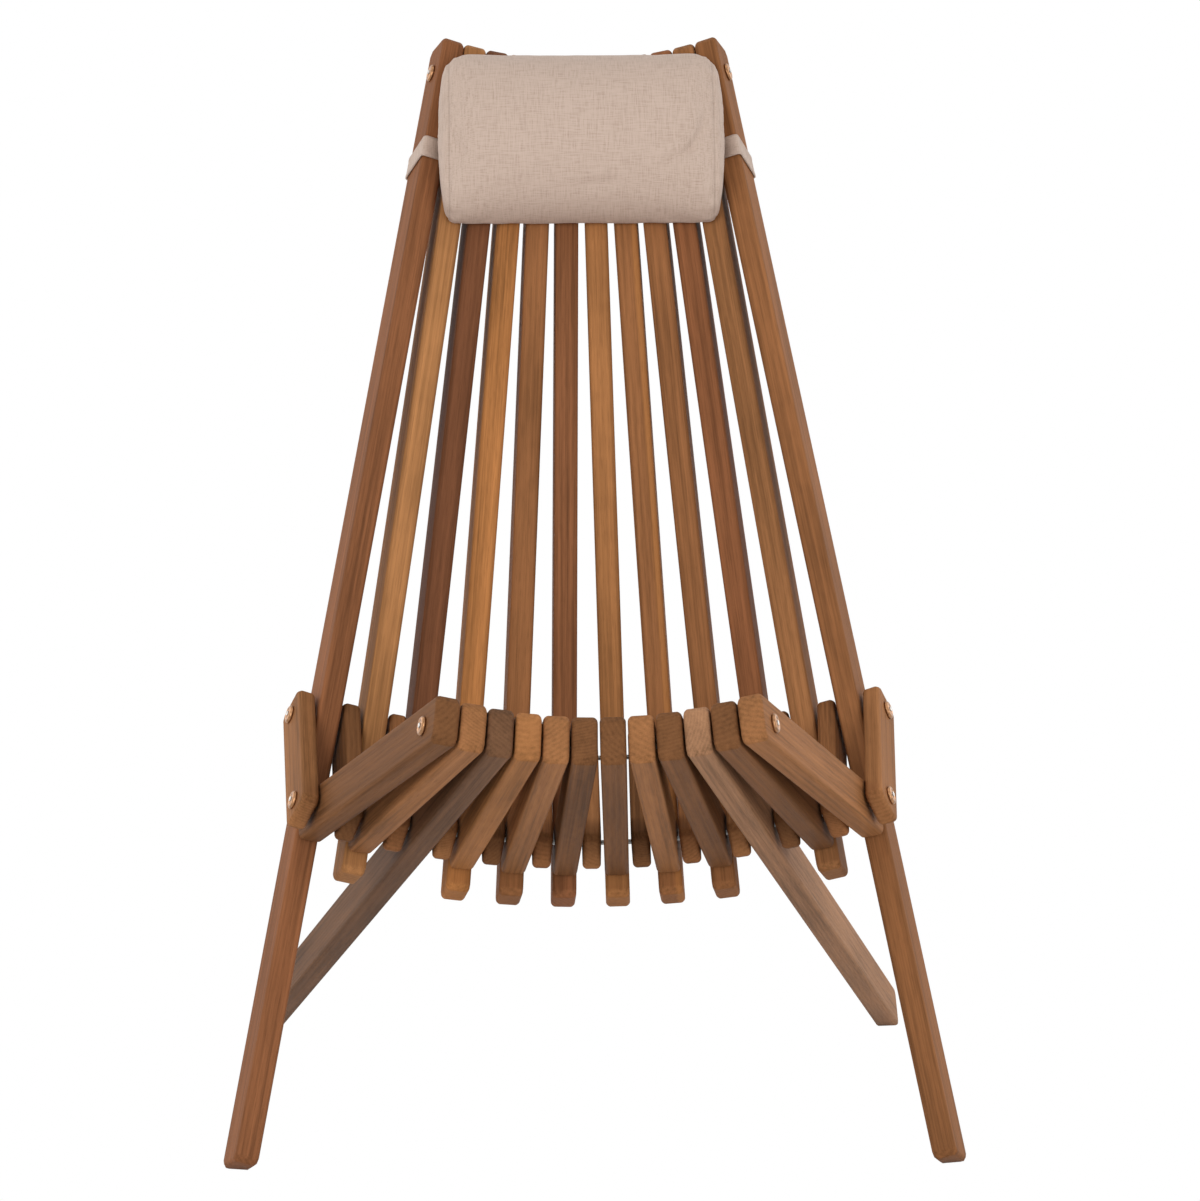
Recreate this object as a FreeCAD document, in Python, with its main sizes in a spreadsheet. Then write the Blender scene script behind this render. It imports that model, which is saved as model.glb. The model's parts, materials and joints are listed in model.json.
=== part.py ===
"""Folding lounge chair of slats threaded on four wires, with a strapped head pillow.

Every slat and link lies in a plane through one sloping line, the fan axis, so the back narrows
towards its top and the seat towards its front. X is to the sitter's left, Y runs from front to
back and Z is up. All sizes are in millimetres and degrees.
"""

import math
import os

import FreeCAD
import Part
import Sketcher

SIZES = [
    # Sticks
    ("slat_width", 20.0),
    ("slat_depth", 38.0),
    ("link_width", 15.0),
    ("edge_ease", 2.4),
    ("corner_ease", 5.0),
    ("swing_radius", 16.0),
    # The fan that all sticks lie in
    ("slat_gap", 1.31),
    ("fan_tilt", 40.5),
    ("hip_radius", 583.0),
    ("recline", 23.5),
    ("seat_rise", 21.5),
    # The hip
    ("hip_height", 311.0),
    ("hip_forward", -84.1),
    ("hip_offset", 60.0),
    ("hip_drop", 92.0),
    ("link_overhang", 16.0),
    # Slat lengths, counted from the hip wires
    ("back_above", 640.0),
    ("back_below", 125.5),
    ("seat_ahead", 303.5),
    ("seat_stop_gap", 0.9),
    ("leg_pass_gap", 4.5),
    ("foot_trim", 6.0),
    # Wires, their holes and their end caps
    ("wire_radius", 2.0),
    ("hole_gap", 0.3),
    ("hinge_mouth_gap", 1.5),
    ("top_hole", 30.0),
    ("front_hole", 28.0),
    ("cap_radius", 7.5),
    ("cap_top_radius", 6.0),
    ("cap_height", 3.2),
    ("cap_bore_gap", 0.25),
    ("wire_stand_out", 0.5),
    # Turn of each seat slat about its own length, per slat from the middle
    ("seat_twist", 0.833),
    # Pillow and strap
    ("pillow_below_top", 5.0),
    ("pillow_height", 156.0),
    ("pillow_half_width", 124.0),
    ("pillow_end_bulge", 10.0),
    ("pillow_thickness", 66.0),
    ("pillow_gap", 0.5),
    ("strap_width", 19.0),
    ("strap_thickness", 1.4),
    ("strap_gap", 0.5),
    ("strap_below_top", 106.0),
    ("strap_tuck", 2.0),
    ("strap_overlap_gap", 0.3),
]

SLATS = 12
FRONT_LEGS = (0, 11)
REAR_LEGS = (2, 9)

doc = FreeCAD.newDocument("folding_lounge_chair")
sheet = doc.addObject("Spreadsheet::Sheet", "Sizes")
for row, (alias, number) in enumerate(SIZES, start=1):
    sheet.set(f"A{row}", alias)
    sheet.set(f"B{row}", str(number))
    sheet.setAlias(f"B{row}", alias)
doc.recompute()


def size(alias):
    """Read one driving size from the sheet."""
    return float(sheet.get(alias))


# The fan: directions and places shared by every piece

Vector = FreeCAD.Vector
tilt = math.radians(size("fan_tilt"))
FAN_AXIS = Vector(0, math.cos(tilt), math.sin(tilt))
FAN_UP = Vector(0, -math.sin(tilt), math.cos(tilt))
ACROSS = Vector(1, 0, 0)
back_fan = 90 - size("recline") - size("fan_tilt")
seat_fan = size("seat_rise") + size("fan_tilt")
BACK_SIN = math.sin(math.radians(back_fan))
BACK_COS = math.cos(math.radians(back_fan))
SEAT_SIN = math.sin(math.radians(seat_fan))
SEAT_COS = math.cos(math.radians(seat_fan))

# Places in a fan plane are (distance from the fan axis, distance along it from the upper hip wire)
UPPER_HIP = (size("hip_radius"), 0.0)
LOWER_HIP = (
    UPPER_HIP[0] + size("hip_drop") * BACK_SIN - size("hip_offset") * BACK_COS,
    -size("hip_drop") * BACK_COS - size("hip_offset") * BACK_SIN,
)
FAN_ORIGIN = (
    Vector(0, size("hip_forward"), size("hip_height")) + FAN_UP * size("hip_radius")
)
SEAT_FRONT_RADIUS = LOWER_HIP[0] - size("seat_ahead") * SEAT_SIN
FAN_STEP = math.degrees((size("slat_width") + size("slat_gap")) / SEAT_FRONT_RADIUS)
BACK_WAY = (-BACK_SIN, BACK_COS)
BACK_FACE = (-BACK_COS, -BACK_SIN)
SEAT_WAY = (-SEAT_SIN, -SEAT_COS)


def slat_angle(index):
    """Fan angle of slat 0 to 11, in degrees."""
    return (index - (SLATS - 1) / 2) * FAN_STEP


def link_angle(index):
    """Fan angle of link 0 to 12, in degrees."""
    return (index - SLATS / 2) * FAN_STEP


def outward(angle):
    """Direction away from the fan axis in the plane at an angle."""
    turn = math.radians(angle)
    return ACROSS * math.sin(turn) - FAN_UP * math.cos(turn)


def sideways(angle):
    """Direction square to the plane at an angle."""
    turn = math.radians(angle)
    return ACROSS * math.cos(turn) + FAN_UP * math.sin(turn)


def fan_vector(way, angle):
    """Turn a direction in a fan plane into a direction in space."""
    return outward(angle) * way[0] + FAN_AXIS * way[1]


def fan_point(place, angle):
    """Turn a place in a fan plane into a point in space."""
    return FAN_ORIGIN + fan_vector(place, angle)


def along(place, way, distance):
    """Move a place in a fan plane along a direction."""
    return (place[0] + way[0] * distance, place[1] + way[1] * distance)


def frame_placement(origin, x_way, z_way):
    """Placement with its X and Z axes along two square directions."""
    y_way = z_way.cross(x_way)
    matrix = FreeCAD.Matrix(
        x_way.x, y_way.x, z_way.x, origin.x,
        x_way.y, y_way.y, z_way.y, origin.y,
        x_way.z, y_way.z, z_way.z, origin.z,
        0, 0, 0, 1,
    )
    return FreeCAD.Placement(matrix)


def stick_placement(place, way, angle):
    """Placement of a stick that runs along a direction in its fan plane."""
    return frame_placement(fan_point(place, angle), fan_vector(way, angle), sideways(angle))


def floor_reach(place, way, angle):
    """Length of a leg that runs from a place down to the floor, with the foot trim added."""
    down = fan_vector(way, angle)
    edge = sideways(angle)
    face = edge.cross(down)
    corner = (abs(face.z) * size("slat_depth") + abs(edge.z) * size("slat_width")) / 2
    return (fan_point(place, angle).z - corner + size("foot_trim")) / -down.z


# Sketch and feature helpers


def origin_plane(body, role):
    """One of a body's own origin planes."""
    return next(item for item in body.Origin.OriginFeatures if item.Role == role)


def new_sketch(body, name, role):
    """Empty sketch on one of a body's origin planes."""
    sketch = body.newObject("Sketcher::SketchObject", name)
    sketch.AttachmentSupport = [(origin_plane(body, role), "")]
    sketch.MapMode = "FlatFace"
    return sketch


def bind(sketch, number, name, expression):
    """Name a constraint and drive it from the sheet."""
    sketch.renameConstraint(number, name)
    sketch.setExpression(f"Constraints.{name}", expression)


def box_sketch(sketch, ahead, behind, depth):
    """Rectangle round the sketch origin, from behind it to ahead of it."""
    half = 10.0
    corners = [Vector(-half, -half), Vector(half, -half), Vector(half, half), Vector(-half, half)]
    for index in range(4):
        sketch.addGeometry(Part.LineSegment(corners[index], corners[(index + 1) % 4]), False)
    for index in range(4):
        sketch.addConstraint(Sketcher.Constraint("Coincident", index, 2, (index + 1) % 4, 1))
    for index, kind in enumerate(("Horizontal", "Vertical", "Horizontal", "Vertical")):
        sketch.addConstraint(Sketcher.Constraint(kind, index))
    lengths = (
        ("ahead", ("DistanceX", -1, 1, 0, 2), ahead),
        ("behind", ("DistanceX", 0, 1, -1, 1), behind),
        ("above", ("DistanceY", -1, 1, 1, 2), f"({depth}) / 2"),
        ("below", ("DistanceY", 0, 1, -1, 1), f"({depth}) / 2"),
    )
    for name, where, expression in lengths:
        number = sketch.addConstraint(Sketcher.Constraint(*where, half))
        bind(sketch, number, name, expression)


def ease_edges(body, base, kind, name, reach, chosen):
    """Round or chamfer the edges of a feature that a test picks."""
    names = [f"Edge{number}" for number, edge in enumerate(base.Shape.Edges, 1) if chosen(edge)]
    eased = body.newObject(f"PartDesign::{kind}", name)
    eased.Base = (base, names)
    eased.setExpression("Radius" if kind == "Fillet" else "Size", reach)
    doc.recompute()
    return eased


def runs_across(edge):
    """Tell whether an edge runs through the stick's width."""
    ends = [vertex.Point for vertex in edge.Vertexes]
    return len(ends) == 2 and abs(ends[0].z - ends[1].z) > 1


def lies_on_side(edge):
    """Tell whether an edge bounds one of the stick's broad side faces."""
    return not runs_across(edge)


def drill(body, label, name, radius, place=None):
    """Round hole through a stick, at its origin or at a place along it."""
    sketch = new_sketch(body, f"{label}_{name}", "XY_Plane")
    sketch.addGeometry(Part.Circle(Vector(1, 0, 0), Vector(0, 0, 1), 1.0), False)
    number = sketch.addConstraint(Sketcher.Constraint("Radius", 0, 1.0))
    bind(sketch, number, "radius", radius)
    if place is None:
        sketch.addConstraint(Sketcher.Constraint("Coincident", 0, 3, -1, 1))
    else:
        sketch.addConstraint(Sketcher.Constraint("PointOnObject", 0, 3, -1))
        number = sketch.addConstraint(Sketcher.Constraint("DistanceX", -1, 1, 0, 3, 1.0))
        bind(sketch, number, "place", place)
    hole = body.newObject("PartDesign::Pocket", f"{label}_{name}_cut")
    hole.Profile = sketch
    hole.Type = 1
    hole.Midplane = True
    return hole


def waist_hole(body, label):
    """Hinge hole at the origin, narrow in the middle and wider at both mouths."""
    sketch = new_sketch(body, f"{label}_hinge", "XZ_Plane")
    reach = 10.0
    points = [Vector(0, -reach), Vector(3, -reach), Vector(2, 0), Vector(3, reach), Vector(0, reach)]
    for index in range(5):
        sketch.addGeometry(Part.LineSegment(points[index], points[(index + 1) % 5]), False)
    for index in range(5):
        sketch.addConstraint(Sketcher.Constraint("Coincident", index, 2, (index + 1) % 5, 1))
    sketch.addConstraint(Sketcher.Constraint("Horizontal", 0))
    sketch.addConstraint(Sketcher.Constraint("Horizontal", 3))
    sketch.addConstraint(Sketcher.Constraint("PointOnObject", 0, 1, -2))
    sketch.addConstraint(Sketcher.Constraint("PointOnObject", 3, 2, -2))
    sketch.addConstraint(Sketcher.Constraint("PointOnObject", 1, 2, -1))
    mouth = "Sizes.wire_radius + Sizes.hinge_mouth_gap"
    lengths = (
        ("throat", ("DistanceX", -1, 1, 1, 2), "Sizes.wire_radius + Sizes.hole_gap"),
        ("low_mouth", ("DistanceX", -1, 1, 0, 2), mouth),
        ("high_mouth", ("DistanceX", -1, 1, 2, 2), mouth),
        ("low", ("DistanceY", 0, 2, -1, 1), "Sizes.slat_width / 2"),
        ("high", ("DistanceY", -1, 1, 2, 2), "Sizes.slat_width / 2"),
    )
    for name, where, expression in lengths:
        number = sketch.addConstraint(Sketcher.Constraint(*where, 2.0))
        bind(sketch, number, name, expression)
    groove = body.newObject("PartDesign::Groove", f"{label}_hinge_cut")
    groove.Profile = sketch
    groove.ReferenceAxis = (sketch, ["V_Axis"])
    groove.Angle = 360
    return groove


def add_stick(label, ahead, behind, width, swing_corner=False):
    """Square-cut stick with eased edges, along its own X axis from the hole at its origin."""
    body = doc.addObject("PartDesign::Body", label)
    outline = new_sketch(body, f"{label}_outline", "XY_Plane")
    box_sketch(outline, ahead, behind, "Sizes.slat_depth")
    pad = body.newObject("PartDesign::Pad", f"{label}_pad")
    pad.Profile = outline
    pad.Midplane = True
    pad.setExpression("Length", width)
    doc.recompute()

    def at_swing_corner(edge):
        middle = edge.CenterOfMass
        return swing_corner and middle.x < 0 and middle.y < 0

    def square_cut(edge):
        return runs_across(edge) and not at_swing_corner(edge)

    def swings(edge):
        box = eased.Shape.BoundBox
        middle = edge.CenterOfMass
        return runs_across(edge) and abs(middle.x - box.XMin) < 0.1 and abs(middle.y - box.YMin) < 0.1

    eased = ease_edges(body, pad, "Chamfer", f"{label}_corners", "Sizes.corner_ease", square_cut)
    if swing_corner:
        eased = ease_edges(body, eased, "Fillet", f"{label}_swing", "Sizes.swing_radius", swings)
    ease_edges(body, eased, "Chamfer", f"{label}_edges", "Sizes.edge_ease", lies_on_side)
    return body


WIRE_HOLE = "Sizes.wire_radius + Sizes.hole_gap"
nodes = {}

# Floor block that trims the feet flat
floor_block = doc.addObject("Part::Box", "floor_block")
floor_block.setExpression("Length", "Sizes.back_above * 4")
floor_block.setExpression("Width", "Sizes.back_above * 4")
floor_block.setExpression("Height", "Sizes.slat_depth * 4")
floor_block.Placement.Base = Vector(
    -2 * size("back_above"), -2 * size("back_above"), -4 * size("slat_depth")
)


def trim_foot(label, leg):
    """Cut a leg flat where it meets the floor."""
    foot = doc.addObject("Part::Cut", label)
    foot.Base = leg
    foot.Tool = floor_block
    return foot


# Back slats, the outermost of which are the front legs

for index in range(SLATS):
    label = f"back_slat_{index + 1:02d}"
    angle = slat_angle(index)
    is_leg = index in FRONT_LEGS
    below = "Sizes.back_below"
    if index in REAR_LEGS:
        below = "Sizes.hip_drop - Sizes.slat_depth / 2 - Sizes.leg_pass_gap"
    if is_leg:
        below = str(floor_reach(UPPER_HIP, (-BACK_WAY[0], -BACK_WAY[1]), angle))
    name = label + "_leg" if is_leg else label
    slat = add_stick(name, "Sizes.back_above", below, "Sizes.slat_width")
    drill(slat, name, "hip_hole", WIRE_HOLE)
    drill(slat, name, "top_wire_hole", WIRE_HOLE, "Sizes.back_above - Sizes.top_hole")
    slat.Placement = stick_placement(UPPER_HIP, BACK_WAY, angle)
    nodes[label] = trim_foot(label, slat) if is_leg else slat

# Links between the two hip wires

link_way = (LOWER_HIP[0] - UPPER_HIP[0], LOWER_HIP[1] - UPPER_HIP[1])
link_length = math.hypot(*link_way)
link_way = (link_way[0] / link_length, link_way[1] / link_length)
HOLE_SPACING = "sqrt(Sizes.hip_offset ^ 2 + Sizes.hip_drop ^ 2)"
LINK_AHEAD = HOLE_SPACING + " + Sizes.link_overhang"
for index in range(SLATS + 1):
    label = f"link_{index + 1:02d}"
    link = add_stick(label, LINK_AHEAD, "Sizes.link_overhang", "Sizes.link_width")
    drill(link, label, "upper_hole", WIRE_HOLE)
    drill(link, label, "lower_hole", WIRE_HOLE, HOLE_SPACING)
    link.Placement = stick_placement(UPPER_HIP, link_way, link_angle(index))
    nodes[label] = link

# Seat slats, two of which are the rear legs


def seat_placement(index):
    """Placement of a seat slat, turned a little about its own length towards the outside."""
    angle = slat_angle(index)
    place = stick_placement(LOWER_HIP, SEAT_WAY, angle)
    twist = -size("seat_twist") * (index - (SLATS - 1) / 2)
    place.Rotation = place.Rotation * FreeCAD.Rotation(Vector(1, 0, 0), twist)
    return place


for index in range(SLATS):
    label = f"seat_slat_{index + 1:02d}"
    angle = slat_angle(index)
    is_leg = index in REAR_LEGS
    behind = "Sizes.hip_offset - Sizes.slat_depth / 2 - Sizes.seat_stop_gap"
    if is_leg:
        behind = str(floor_reach(LOWER_HIP, (-SEAT_WAY[0], -SEAT_WAY[1]), angle))
    name = label + "_leg" if is_leg else label
    slat = add_stick(name, "Sizes.seat_ahead", behind, "Sizes.slat_width", not is_leg)
    waist_hole(slat, name)
    drill(slat, name, "front_wire_hole", WIRE_HOLE, "Sizes.seat_ahead - Sizes.front_hole")
    slat.Placement = seat_placement(index)
    nodes[label] = trim_foot(label, slat) if is_leg else slat
doc.recompute()

# Wires that run in arcs about the fan axis

TOP_HOLE = along(UPPER_HIP, BACK_WAY, size("back_above") - size("top_hole"))
BACK_FAN = "(90 - Sizes.recline - Sizes.fan_tilt)"
RADIUS_OF = {
    "upper_hip_wire": "Sizes.hip_radius",
    "lower_hip_wire": (
        f"Sizes.hip_radius + Sizes.hip_drop * sin({BACK_FAN}) - Sizes.hip_offset * cos({BACK_FAN})"
    ),
    "top_wire": f"Sizes.hip_radius - (Sizes.back_above - Sizes.top_hole) * sin({BACK_FAN})",
}


def end_angle(place, stick_angle, width):
    """Fan angle at which a wire comes out of the outermost stick."""
    return stick_angle + math.degrees(math.atan2(width / 2, place[0]))


def add_wire(label, place, last_angle):
    """Wire bent to an arc about the fan axis, standing out of both end caps."""
    stand_out = size("cap_height") + size("wire_stand_out")
    reach = last_angle + math.degrees(math.atan2(stand_out, place[0]))
    wire = doc.addObject("Part::Torus", label)
    wire.setExpression("Radius1", RADIUS_OF[label])
    wire.setExpression("Radius2", "Sizes.wire_radius")
    wire.Angle3 = 2 * reach
    centre = FAN_ORIGIN + FAN_AXIS * place[1]
    wire.Placement = frame_placement(centre, outward(reach), FAN_AXIS)
    nodes[label] = wire


def add_cap(label, point, way):
    """Domed washer that sits on a slat's side round the end of a wire."""
    turn = FreeCAD.Rotation(Vector(0, 0, 1), way)
    dome = doc.addObject("Part::Cone", f"{label}_dome")
    dome.setExpression("Radius1", "Sizes.cap_radius")
    dome.setExpression("Radius2", "Sizes.cap_top_radius")
    dome.setExpression("Height", "Sizes.cap_height")
    dome.Placement = FreeCAD.Placement(point, turn)
    bore = doc.addObject("Part::Cylinder", f"{label}_bore")
    bore.setExpression("Radius", "Sizes.wire_radius + Sizes.cap_bore_gap")
    bore.setExpression("Height", "Sizes.cap_height * 3")
    bore.Placement = FreeCAD.Placement(point - way * size("cap_height"), turn)
    cap = doc.addObject("Part::Cut", label)
    cap.Base = dome
    cap.Tool = bore
    return cap


LAST_SLAT = slat_angle(SLATS - 1)
LAST_LINK = link_angle(SLATS)
WIRE_ENDS = (
    ("top_wire", TOP_HOLE, LAST_SLAT, "slat_width"),
    ("upper_hip_wire", UPPER_HIP, LAST_LINK, "link_width"),
    ("lower_hip_wire", LOWER_HIP, LAST_LINK, "link_width"),
)
caps = []
for label, place, last_stick, width in WIRE_ENDS:
    add_wire(label, place, end_angle(place, last_stick, size(width)))
    for side in (-1, 1):
        way = sideways(side * last_stick) * side
        point = fan_point(place, side * last_stick) + way * (size(width) / 2)
        caps.append(add_cap(f"{label}_cap_{'left' if side > 0 else 'right'}", point, way))
wire_caps = doc.addObject("Part::Compound", "wire_caps")
wire_caps.Links = caps
nodes["wire_caps"] = wire_caps

# The front wire, one length in each seat slat, with a cap at either end

for index in range(SLATS):
    label = f"front_wire_{index + 1:02d}"
    place = seat_placement(index)
    across_way = place.Rotation.multVec(Vector(0, 0, 1))
    hole = place.multVec(Vector(size("seat_ahead") - size("front_hole"), 0, 0))
    start = hole - across_way * (size("slat_width") / 2)
    length = "Sizes.slat_width"
    if index in (0, SLATS - 1):
        side = 1 if index else -1
        length = "Sizes.slat_width + Sizes.cap_height + Sizes.wire_stand_out"
        if side < 0:
            start = start - across_way * (size("cap_height") + size("wire_stand_out"))
        cap_label = "front_cap_left" if side > 0 else "front_cap_right"
        seat_face = hole + across_way * (side * size("slat_width") / 2)
        nodes[cap_label] = add_cap(cap_label, seat_face, across_way * side)
    wire = doc.addObject("Part::Cylinder", label)
    wire.setExpression("Radius", "Sizes.wire_radius")
    wire.setExpression("Height", length)
    wire.Placement = FreeCAD.Placement(start, FreeCAD.Rotation(Vector(0, 0, 1), across_way))
    nodes[label] = wire

# Head pillow, a straight crowned roll whose back fills the hollow of the back slats

PILLOW_LOW = size("back_above") - size("pillow_below_top") - size("pillow_height")
PILLOW_MIDDLE = PILLOW_LOW + size("pillow_height") / 2
FRONT_LIFT = size("slat_depth") / 2 + size("pillow_gap")


def hollow(across, rise):
    """How much further forward the slats' fronts stand at a distance from the middle."""
    radius = UPPER_HIP[0] - rise * BACK_SIN - size("slat_depth") / 2 * BACK_COS
    square = (BACK_SIN ** 2 / BACK_COS) ** 2 - BACK_COS ** 2
    slope = 2 * radius / BACK_COS
    return (math.sqrt(slope ** 2 + 4 * square * across ** 2) - slope) / (2 * square)


def pillow_section(name, across, shrink):
    """Closed half-round outline across the roll, drawn towards its middle by a share."""
    low = PILLOW_LOW
    high = low + size("pillow_height")
    ends = (Vector(low, hollow(across, low)), Vector(high, hollow(across, high)))
    crown = Vector(PILLOW_MIDDLE, size("pillow_thickness"))
    middle = (ends[0] + ends[1]) / 4 + crown / 2
    low_end, high_end, top = (corner + (middle - corner) * shrink for corner in (*ends, crown))
    outline = doc.addObject("Sketcher::SketchObject", name)
    outline.addGeometry(Part.LineSegment(low_end, high_end), False)
    outline.addGeometry(Part.Arc(high_end, top, low_end), False)
    start = along(UPPER_HIP, BACK_FACE, FRONT_LIFT)
    outline.Placement = stick_placement(start, BACK_WAY, 0)
    outline.Placement.Base += ACROSS * across
    return outline


# Shares of the way to the seams, then of the end panel's bulge
PILLOW_BODY = (0.0, 0.25, 0.5, 0.75, 1.0)
PILLOW_BULGE = (0.5, 0.8, 0.95)
seam = size("pillow_half_width") - size("pillow_end_bulge")
pillow_rows = [(share * seam, 0.0) for share in PILLOW_BODY]
for share in PILLOW_BULGE:
    shrink = 1 - math.sqrt(1 - share ** 2)
    pillow_rows.append((seam + share * size("pillow_end_bulge"), shrink))
pillow_rows = [(-across, shrink) for across, shrink in reversed(pillow_rows[1:])] + pillow_rows
sections = []
for number, (across, shrink) in enumerate(pillow_rows, 1):
    sections.append(pillow_section(f"pillow_section_{number:02d}", across, shrink))
pillow = doc.addObject("Part::Loft", "pillow")
pillow.Sections = sections
pillow.Solid = True
pillow.Ruled = True
nodes["pillow"] = pillow

# Pillow strap, a band behind the slats and a turn round each outermost slat

STRAP_MIDDLE = size("back_above") - size("strap_below_top")


def strap_cone(name, rise, width):
    """Solid sector whose slanted face lies a given height behind the back slats."""
    low = along(UPPER_HIP, BACK_WAY, STRAP_MIDDLE - width / 2)
    high = along(UPPER_HIP, BACK_WAY, STRAP_MIDDLE + width / 2)
    low = along(low, BACK_FACE, -rise)
    high = along(high, BACK_FACE, -rise)
    cone = doc.addObject("Part::Cone", name)
    cone.Radius1 = low[0]
    cone.Radius2 = high[0]
    cone.Height = high[1] - low[1]
    cone.Angle = 2 * LAST_SLAT
    cone.Placement = frame_placement(FAN_ORIGIN + FAN_AXIS * low[1], outward(LAST_SLAT), FAN_AXIS)
    return cone


strap_lift = size("slat_depth") / 2 + size("strap_gap")
strap_back = doc.addObject("Part::Cut", "strap_back")
strap_back.Base = strap_cone("strap_outside", strap_lift + size("strap_thickness"), size("strap_width"))
strap_back.Tool = strap_cone("strap_inside", strap_lift, 2 * size("strap_width"))
nodes["strap_back"] = strap_back


def add_strap_turn(label, index):
    """Band round an outermost slat, from behind it to the end of the pillow."""
    side = 1 if index else -1
    body = doc.addObject("PartDesign::Body", label)
    sketch = new_sketch(body, f"{label}_path", "YZ_Plane")
    flank = size("slat_width") / 2 + size("strap_gap")
    thick = size("strap_thickness")
    start = size("strap_overlap_gap")
    end = -size("strap_tuck")
    inside = [(-strap_lift, start), (-strap_lift, flank), (strap_lift, flank), (strap_lift, end)]
    outside = [
        (strap_lift + thick, end),
        (strap_lift + thick, flank + thick),
        (-strap_lift - thick, flank + thick),
        (-strap_lift - thick, start),
    ]
    points = [Vector(forward, side * aside) for forward, aside in inside + outside]
    for number, point in enumerate(points):
        sketch.addGeometry(Part.LineSegment(point, points[(number + 1) % len(points)]), False)
    band = body.newObject("PartDesign::Pad", f"{label}_band")
    band.Profile = sketch
    band.Midplane = True
    band.setExpression("Length", "Sizes.strap_width")
    place = along(UPPER_HIP, BACK_WAY, STRAP_MIDDLE)
    body.Placement = stick_placement(place, BACK_WAY, slat_angle(index))
    nodes[label] = body


add_strap_turn("strap_right", 0)
add_strap_turn("strap_left", SLATS - 1)

doc.recompute()

# Checks and export

for item in doc.Objects:
    if "Invalid" in item.State or "Error" in item.State:
        raise RuntimeError(f"{item.Label} failed: {item.State}")
os.makedirs("parts", exist_ok=True)
for label, node in nodes.items():
    node.Label = label
    if node.Shape.isNull() or not node.Shape.isValid():
        raise RuntimeError(f"{label} has no valid shape")
    node.Shape.exportStep(f"parts/{label}.step")
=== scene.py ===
"""Dresses the folding lounge chair: oiled wood, copper caps, steel wire, a woven pillow and its strap."""

import json
import logging
import math
from collections.abc import Sequence
from dataclasses import dataclass
from enum import Enum
from typing import Any

import bmesh
import bpy
import numpy as np
from mathutils import Matrix, Vector

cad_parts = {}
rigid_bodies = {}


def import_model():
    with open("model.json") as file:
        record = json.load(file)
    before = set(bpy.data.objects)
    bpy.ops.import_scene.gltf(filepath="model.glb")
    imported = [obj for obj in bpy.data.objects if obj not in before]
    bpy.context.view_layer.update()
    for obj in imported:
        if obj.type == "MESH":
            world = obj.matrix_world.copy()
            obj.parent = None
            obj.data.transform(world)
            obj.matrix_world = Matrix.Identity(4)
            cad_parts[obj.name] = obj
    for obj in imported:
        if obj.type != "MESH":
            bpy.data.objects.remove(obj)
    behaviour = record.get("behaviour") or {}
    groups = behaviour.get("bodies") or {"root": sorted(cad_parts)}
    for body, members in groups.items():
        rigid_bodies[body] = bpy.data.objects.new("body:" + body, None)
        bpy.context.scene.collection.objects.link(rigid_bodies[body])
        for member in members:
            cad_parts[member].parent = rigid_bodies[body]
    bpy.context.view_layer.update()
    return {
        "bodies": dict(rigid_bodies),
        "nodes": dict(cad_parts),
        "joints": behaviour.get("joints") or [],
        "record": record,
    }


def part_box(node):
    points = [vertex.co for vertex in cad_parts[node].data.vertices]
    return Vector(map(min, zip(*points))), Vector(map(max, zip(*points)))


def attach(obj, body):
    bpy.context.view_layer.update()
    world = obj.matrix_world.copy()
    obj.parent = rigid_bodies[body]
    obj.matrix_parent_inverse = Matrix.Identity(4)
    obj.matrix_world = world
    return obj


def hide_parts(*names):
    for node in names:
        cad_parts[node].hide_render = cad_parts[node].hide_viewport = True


log = logging.getLogger("lounge_chair")

Rgb = tuple[int, int, int]
Triple = tuple[float, float, float]
Faces = list[tuple[int, ...]]
Socket = bpy.types.NodeSocket
PHOTO_WIDTH = 1200
SENSOR_MM = 36.0
SLATS = 12
LINKS = SLATS + 1
ROOT_BODY = "back"
MM = 0.001
BLACK = (0.0, 0.0, 0.0, 1.0)
WHITE = (1.0, 1.0, 1.0, 1.0)
# A wave texture's scale times the length of its wave.
WAVE_UNIT = 0.314


class WoodTone(Enum):
    """Tones that the oiled slats come in, as screen colours."""

    GOLDEN = (164, 114, 71)
    AMBER = (164, 109, 63)
    HONEY = (150, 101, 61)
    CHESTNUT = (136, 90, 56)
    RUSSET = (132, 85, 55)
    UMBER = (131, 83, 53)
    WALNUT = (108, 68, 45)
    TAN = (143, 97, 61)
    ASH = (111, 74, 46)
    SMOKE = (106, 75, 53)
    DUSK = (152, 112, 82)


def linear(colour: Rgb, gain: float = 1.0) -> tuple[float, float, float, float]:
    """Turn a screen colour into the linear colour that shaders use.

    Args:
        colour: Red, green and blue from 0 to 255.
        gain: Factor on the linear colour.

    Returns:
        Linear red, green and blue, and an alpha of one.
    """
    parts = []
    for channel in colour:
        share = channel / 255
        low = share / 12.92
        high = ((share + 0.055) / 1.055) ** 2.4
        parts.append(min(1.0, gain * (low if share <= 0.04045 else high)))
    return (parts[0], parts[1], parts[2], 1.0)


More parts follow.
